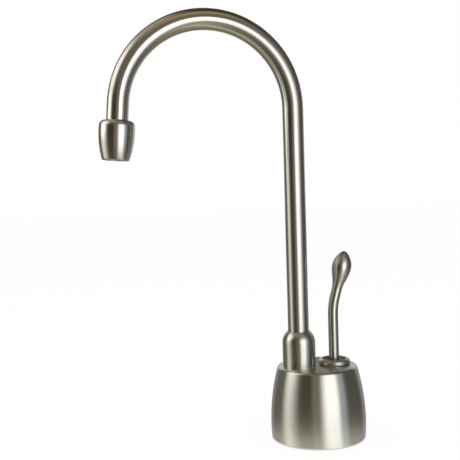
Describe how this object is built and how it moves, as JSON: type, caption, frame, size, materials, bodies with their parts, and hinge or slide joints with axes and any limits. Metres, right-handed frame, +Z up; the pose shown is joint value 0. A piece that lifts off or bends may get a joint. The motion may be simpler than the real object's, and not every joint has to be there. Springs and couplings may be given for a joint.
{
  "type": "drinking water faucet",
  "caption": "Deck-mounted drinking water faucet: swivelling gooseneck spout with a barrel nozzle, bell-shaped base and a self-closing tilt lever, with shank, nut and push-fit inlet.",
  "frame": {"origin": "middle of the base on the sink deck's top surface", "axes": "+Z up, -Y the way the spout reaches, lever behind at +Y, X across"},
  "size_m": [0.058, 0.1566, 0.3265],
  "materials": {
    "satin_nickel": "fine brushed satin nickel plate",
    "brass": "machined brass",
    "stainless_steel": "turned stainless steel",
    "black_rubber": "moulded rubber",
    "white_acetal": "moulded acetal",
    "grey_acetal": "moulded acetal"
  },
  "bodies": {
    "root": {"base_shell": "satin_nickel", "spout_sleeve": "satin_nickel", "lever_collar": "satin_nickel", "valve_body": "brass", "valve_seat": "brass", "valve_bottom_plug": "brass", "mounting_shank": "brass", "mounting_nut": "brass", "lever_pivot_pin": "stainless_steel", "base_plate": "stainless_steel", "base_plate_screws": "stainless_steel", "steel_deck_washer": "stainless_steel", "valve_return_spring": "stainless_steel", "deck_gasket": "black_rubber", "rubber_deck_washer": "black_rubber", "plug_o_ring": "black_rubber", "inlet_o_ring": "black_rubber", "spout_bush": "white_acetal", "spout_thrust_washer": "white_acetal", "inlet_fitting": "white_acetal"},
    "spout": {"gooseneck_tube": "satin_nickel", "spout_spigot": "brass", "spout_o_rings": "black_rubber", "nozzle_housing": "satin_nickel", "stream_straightener": "white_acetal", "mesh_screen": "stainless_steel", "outlet_gasket": "black_rubber"},
    "lever": {"lever_handle": "satin_nickel", "lever_ball": "satin_nickel", "lever_set_screw": "stainless_steel"},
    "plunger": {"valve_plunger": "brass", "valve_disc": "black_rubber", "stem_o_ring": "black_rubber"},
    "collet": {"inlet_collet": "grey_acetal"}
  },
  "joints": [
    {"name": "spout_swivel", "type": "hinge", "parent": "root", "child": "spout", "pos_m": [0, -0.0114, 0.052], "axis": [0, 0, 1], "continuous": true},
    {"name": "lever_tilt", "type": "hinge", "parent": "root", "child": "lever", "pos_m": [0, 0.01115, 0.0382], "axis": [-1, 0, 0], "range_deg": [0, 20], "stiffness_Nm_per_rad": 0.03, "springref_deg": -20.05},
    {"name": "valve_stroke", "type": "slide", "parent": "root", "child": "plunger", "axis": [0, 0, -1], "range_m": [0, 0.00137], "deforming": ["valve_return_spring"]},
    {"name": "collet_release", "type": "slide", "parent": "root", "child": "collet", "axis": [0, 0, 1], "range_m": [0, 0.0015]}
  ],
  "couplings": [
    {"joint": "valve_stroke", "follows": "lever_tilt", "m_per_rad": 0.003897}
  ]
}
